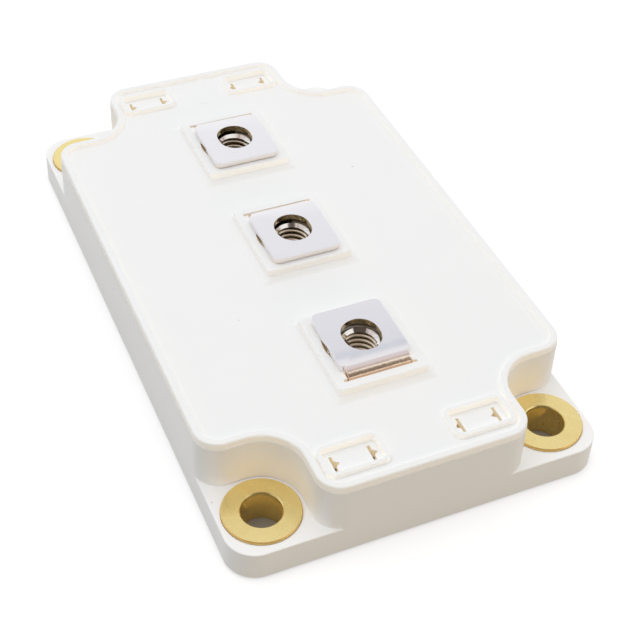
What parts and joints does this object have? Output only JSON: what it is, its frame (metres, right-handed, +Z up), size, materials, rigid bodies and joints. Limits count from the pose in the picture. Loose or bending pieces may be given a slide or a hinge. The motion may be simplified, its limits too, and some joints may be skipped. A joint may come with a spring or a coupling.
{
  "type": "rectifier diode module",
  "caption": "Low-profile power diode module: moulded housing with corner screw eyelets, bent strip terminals over captive nuts, and a metal base plate for a heat sink.",
  "frame": {"origin": "centre of the base plate's underside", "axes": "+X along the long axis, towards the end whose terminal bends down on its outer side; +Y across; +Z up, away from the heat sink"},
  "size_m": [0.108, 0.062, 0.0168],
  "materials": {
    "moulding": "moulded, slightly glossy",
    "plated_copper": "nickel plated",
    "sealant": "cured silicone",
    "gel": "soft clear silicone",
    "brass": "turned",
    "plated_strip": "nickel plated, smooth",
    "plated_steel": "zinc plated",
    "bare_copper": "bare copper, satin",
    "ceramic": "fired, matt",
    "silicon": "metallised die"
  },
  "bodies": {
    "root": {"housing": "moulding", "baseplate": "plated_copper", "seal_bead": "sealant", "gel_fill": "gel", "bushing_1": "brass", "bushing_2": "brass", "bushing_3": "brass", "bushing_4": "brass", "terminal_1": "plated_strip", "nut_1": "plated_steel", "terminal_2": "plated_strip", "nut_2": "plated_steel", "terminal_3": "plated_strip", "nut_3": "plated_steel", "lower_copper_1": "bare_copper", "ceramic_1": "ceramic", "die_pad_1": "bare_copper", "lead_pad_1": "bare_copper", "link_1": "bare_copper", "lower_copper_2": "bare_copper", "ceramic_2": "ceramic", "die_pad_2": "bare_copper", "lead_pad_2": "bare_copper", "link_2": "bare_copper", "diode_1": "silicon", "clip_1": "bare_copper", "diode_2": "silicon", "clip_2": "bare_copper", "diode_3": "silicon", "clip_3": "bare_copper", "diode_4": "silicon", "clip_4": "bare_copper", "diode_5": "silicon", "clip_5": "bare_copper", "diode_6": "silicon", "clip_6": "bare_copper"}
  },
  "joints": []
}
